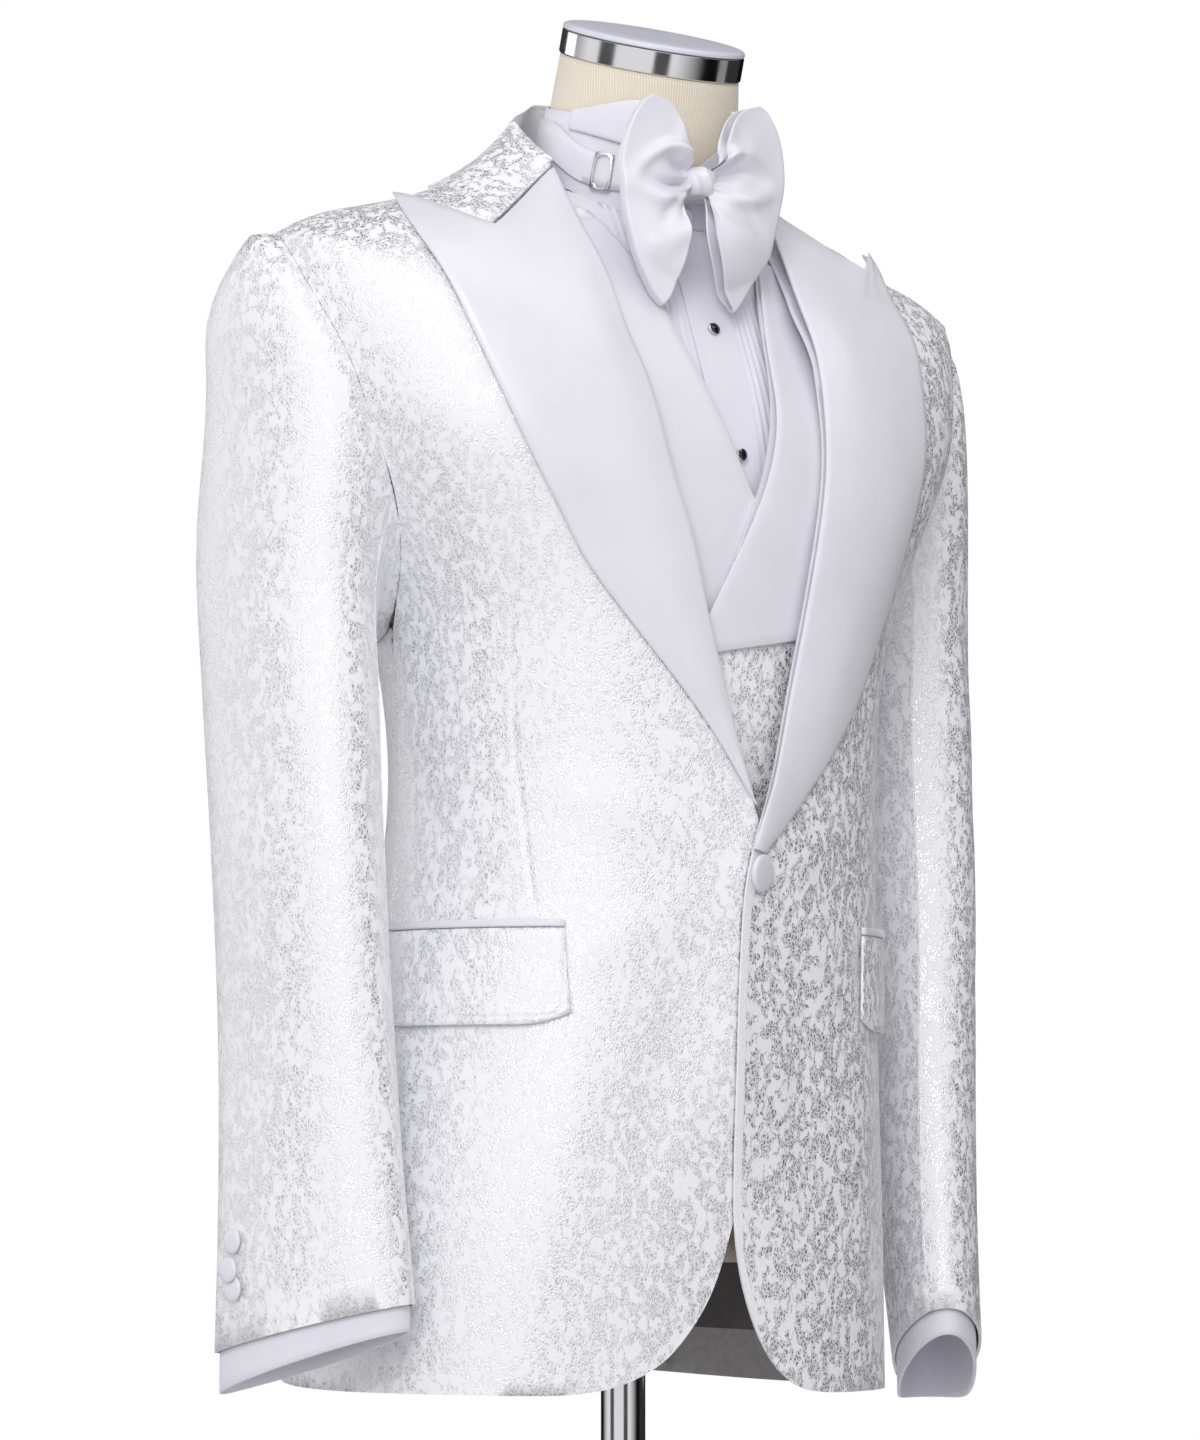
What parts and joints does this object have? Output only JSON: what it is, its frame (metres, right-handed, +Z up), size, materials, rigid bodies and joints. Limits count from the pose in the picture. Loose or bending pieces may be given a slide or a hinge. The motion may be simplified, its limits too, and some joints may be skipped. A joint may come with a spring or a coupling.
{
  "type": "tuxedo on a dress form with a stand",
  "caption": "White brocade dinner jacket with peak lapels, waistcoat, pleated shirt and large bow tie, worn by a limbless dress form on a pole with a round base",
  "frame": {"origin": "centre of the stand base's underside, on the floor and on the pole's axis", "axes": "+Z up, +X to the wearer's left, the jacket's front faces -Y"},
  "size_m": [0.5394, 0.3819, 1.6447],
  "materials": {
    "bow_knot": "white satin",
    "bow_wing_left": "white satin",
    "bow_wing_right": "white satin",
    "coat_back_left": "white and silver brocade",
    "coat_back_right": "white and silver brocade",
    "coat_button": "white satin",
    "coat_collar": "white and silver brocade",
    "coat_front_left": "white and silver brocade",
    "coat_front_right": "white and silver brocade",
    "coat_lapel_left": "white satin",
    "coat_lapel_right": "white satin",
    "coat_side_left": "white and silver brocade",
    "coat_side_right": "white and silver brocade",
    "collar_button": "pearl",
    "collar_wing_left": "plain white cotton",
    "collar_wing_right": "plain white cotton",
    "cuff_button_1_left": "white satin",
    "cuff_button_1_right": "white satin",
    "cuff_button_2_left": "white satin",
    "cuff_button_2_right": "white satin",
    "cuff_button_3_left": "white satin",
    "cuff_button_3_right": "white satin",
    "form_neck_band": "bright plated",
    "form_neck_cap": "satin light grey",
    "form_torso": "cream ribbed knit",
    "pocket_flap_left": "white and silver brocade",
    "pocket_flap_right": "white and silver brocade",
    "pocket_welt_left": "white satin",
    "pocket_welt_right": "white satin",
    "shirt_back": "plain white cotton",
    "shirt_collar_band": "plain white cotton",
    "shirt_cuff_left": "plain white cotton",
    "shirt_cuff_right": "plain white cotton",
    "shirt_front_left": "plain white cotton",
    "shirt_front_right": "plain white cotton",
    "shirt_placket": "plain white cotton",
    "shirt_sleeve_left": "plain white cotton",
    "shirt_sleeve_right": "plain white cotton",
    "shirt_stud_1": "polished black",
    "shirt_stud_2": "polished black",
    "sleeve_top_left": "white and silver brocade",
    "sleeve_top_right": "white and silver brocade",
    "sleeve_under_left": "white and silver brocade",
    "sleeve_under_right": "white and silver brocade",
    "stand_base": "bright plated",
    "stand_pole": "bright plated",
    "tie_slide": "bright plated",
    "tie_strap": "white satin",
    "vest_back": "white satin",
    "vest_front_left": "white and silver brocade",
    "vest_front_right": "white and silver brocade",
    "vest_lapel_left": "white satin",
    "vest_lapel_right": "white satin"
  },
  "bodies": {
    "root": {"bow_knot": "bow_knot", "bow_wing_left": "bow_wing_left", "bow_wing_right": "bow_wing_right", "coat_back_left": "coat_back_left", "coat_back_right": "coat_back_right", "coat_button": "coat_button", "coat_collar": "coat_collar", "coat_front_left": "coat_front_left", "coat_front_right": "coat_front_right", "coat_lapel_left": "coat_lapel_left", "coat_lapel_right": "coat_lapel_right", "coat_side_left": "coat_side_left", "coat_side_right": "coat_side_right", "collar_button": "collar_button", "collar_wing_left": "collar_wing_left", "collar_wing_right": "collar_wing_right", "cuff_button_1_left": "cuff_button_1_left", "cuff_button_1_right": "cuff_button_1_right", "cuff_button_2_left": "cuff_button_2_left", "cuff_button_2_right": "cuff_button_2_right", "cuff_button_3_left": "cuff_button_3_left", "cuff_button_3_right": "cuff_button_3_right", "form_neck_band": "form_neck_band", "form_neck_cap": "form_neck_cap", "form_torso": "form_torso", "pocket_flap_left": "pocket_flap_left", "pocket_flap_right": "pocket_flap_right", "pocket_welt_left": "pocket_welt_left", "pocket_welt_right": "pocket_welt_right", "shirt_back": "shirt_back", "shirt_collar_band": "shirt_collar_band", "shirt_cuff_left": "shirt_cuff_left", "shirt_cuff_right": "shirt_cuff_right", "shirt_front_left": "shirt_front_left", "shirt_front_right": "shirt_front_right", "shirt_placket": "shirt_placket", "shirt_sleeve_left": "shirt_sleeve_left", "shirt_sleeve_right": "shirt_sleeve_right", "shirt_stud_1": "shirt_stud_1", "shirt_stud_2": "shirt_stud_2", "sleeve_top_left": "sleeve_top_left", "sleeve_top_right": "sleeve_top_right", "sleeve_under_left": "sleeve_under_left", "sleeve_under_right": "sleeve_under_right", "stand_base": "stand_base", "stand_pole": "stand_pole", "tie_slide": "tie_slide", "tie_strap": "tie_strap", "vest_back": "vest_back", "vest_front_left": "vest_front_left", "vest_front_right": "vest_front_right", "vest_lapel_left": "vest_lapel_left", "vest_lapel_right": "vest_lapel_right"}
  },
  "joints": []
}
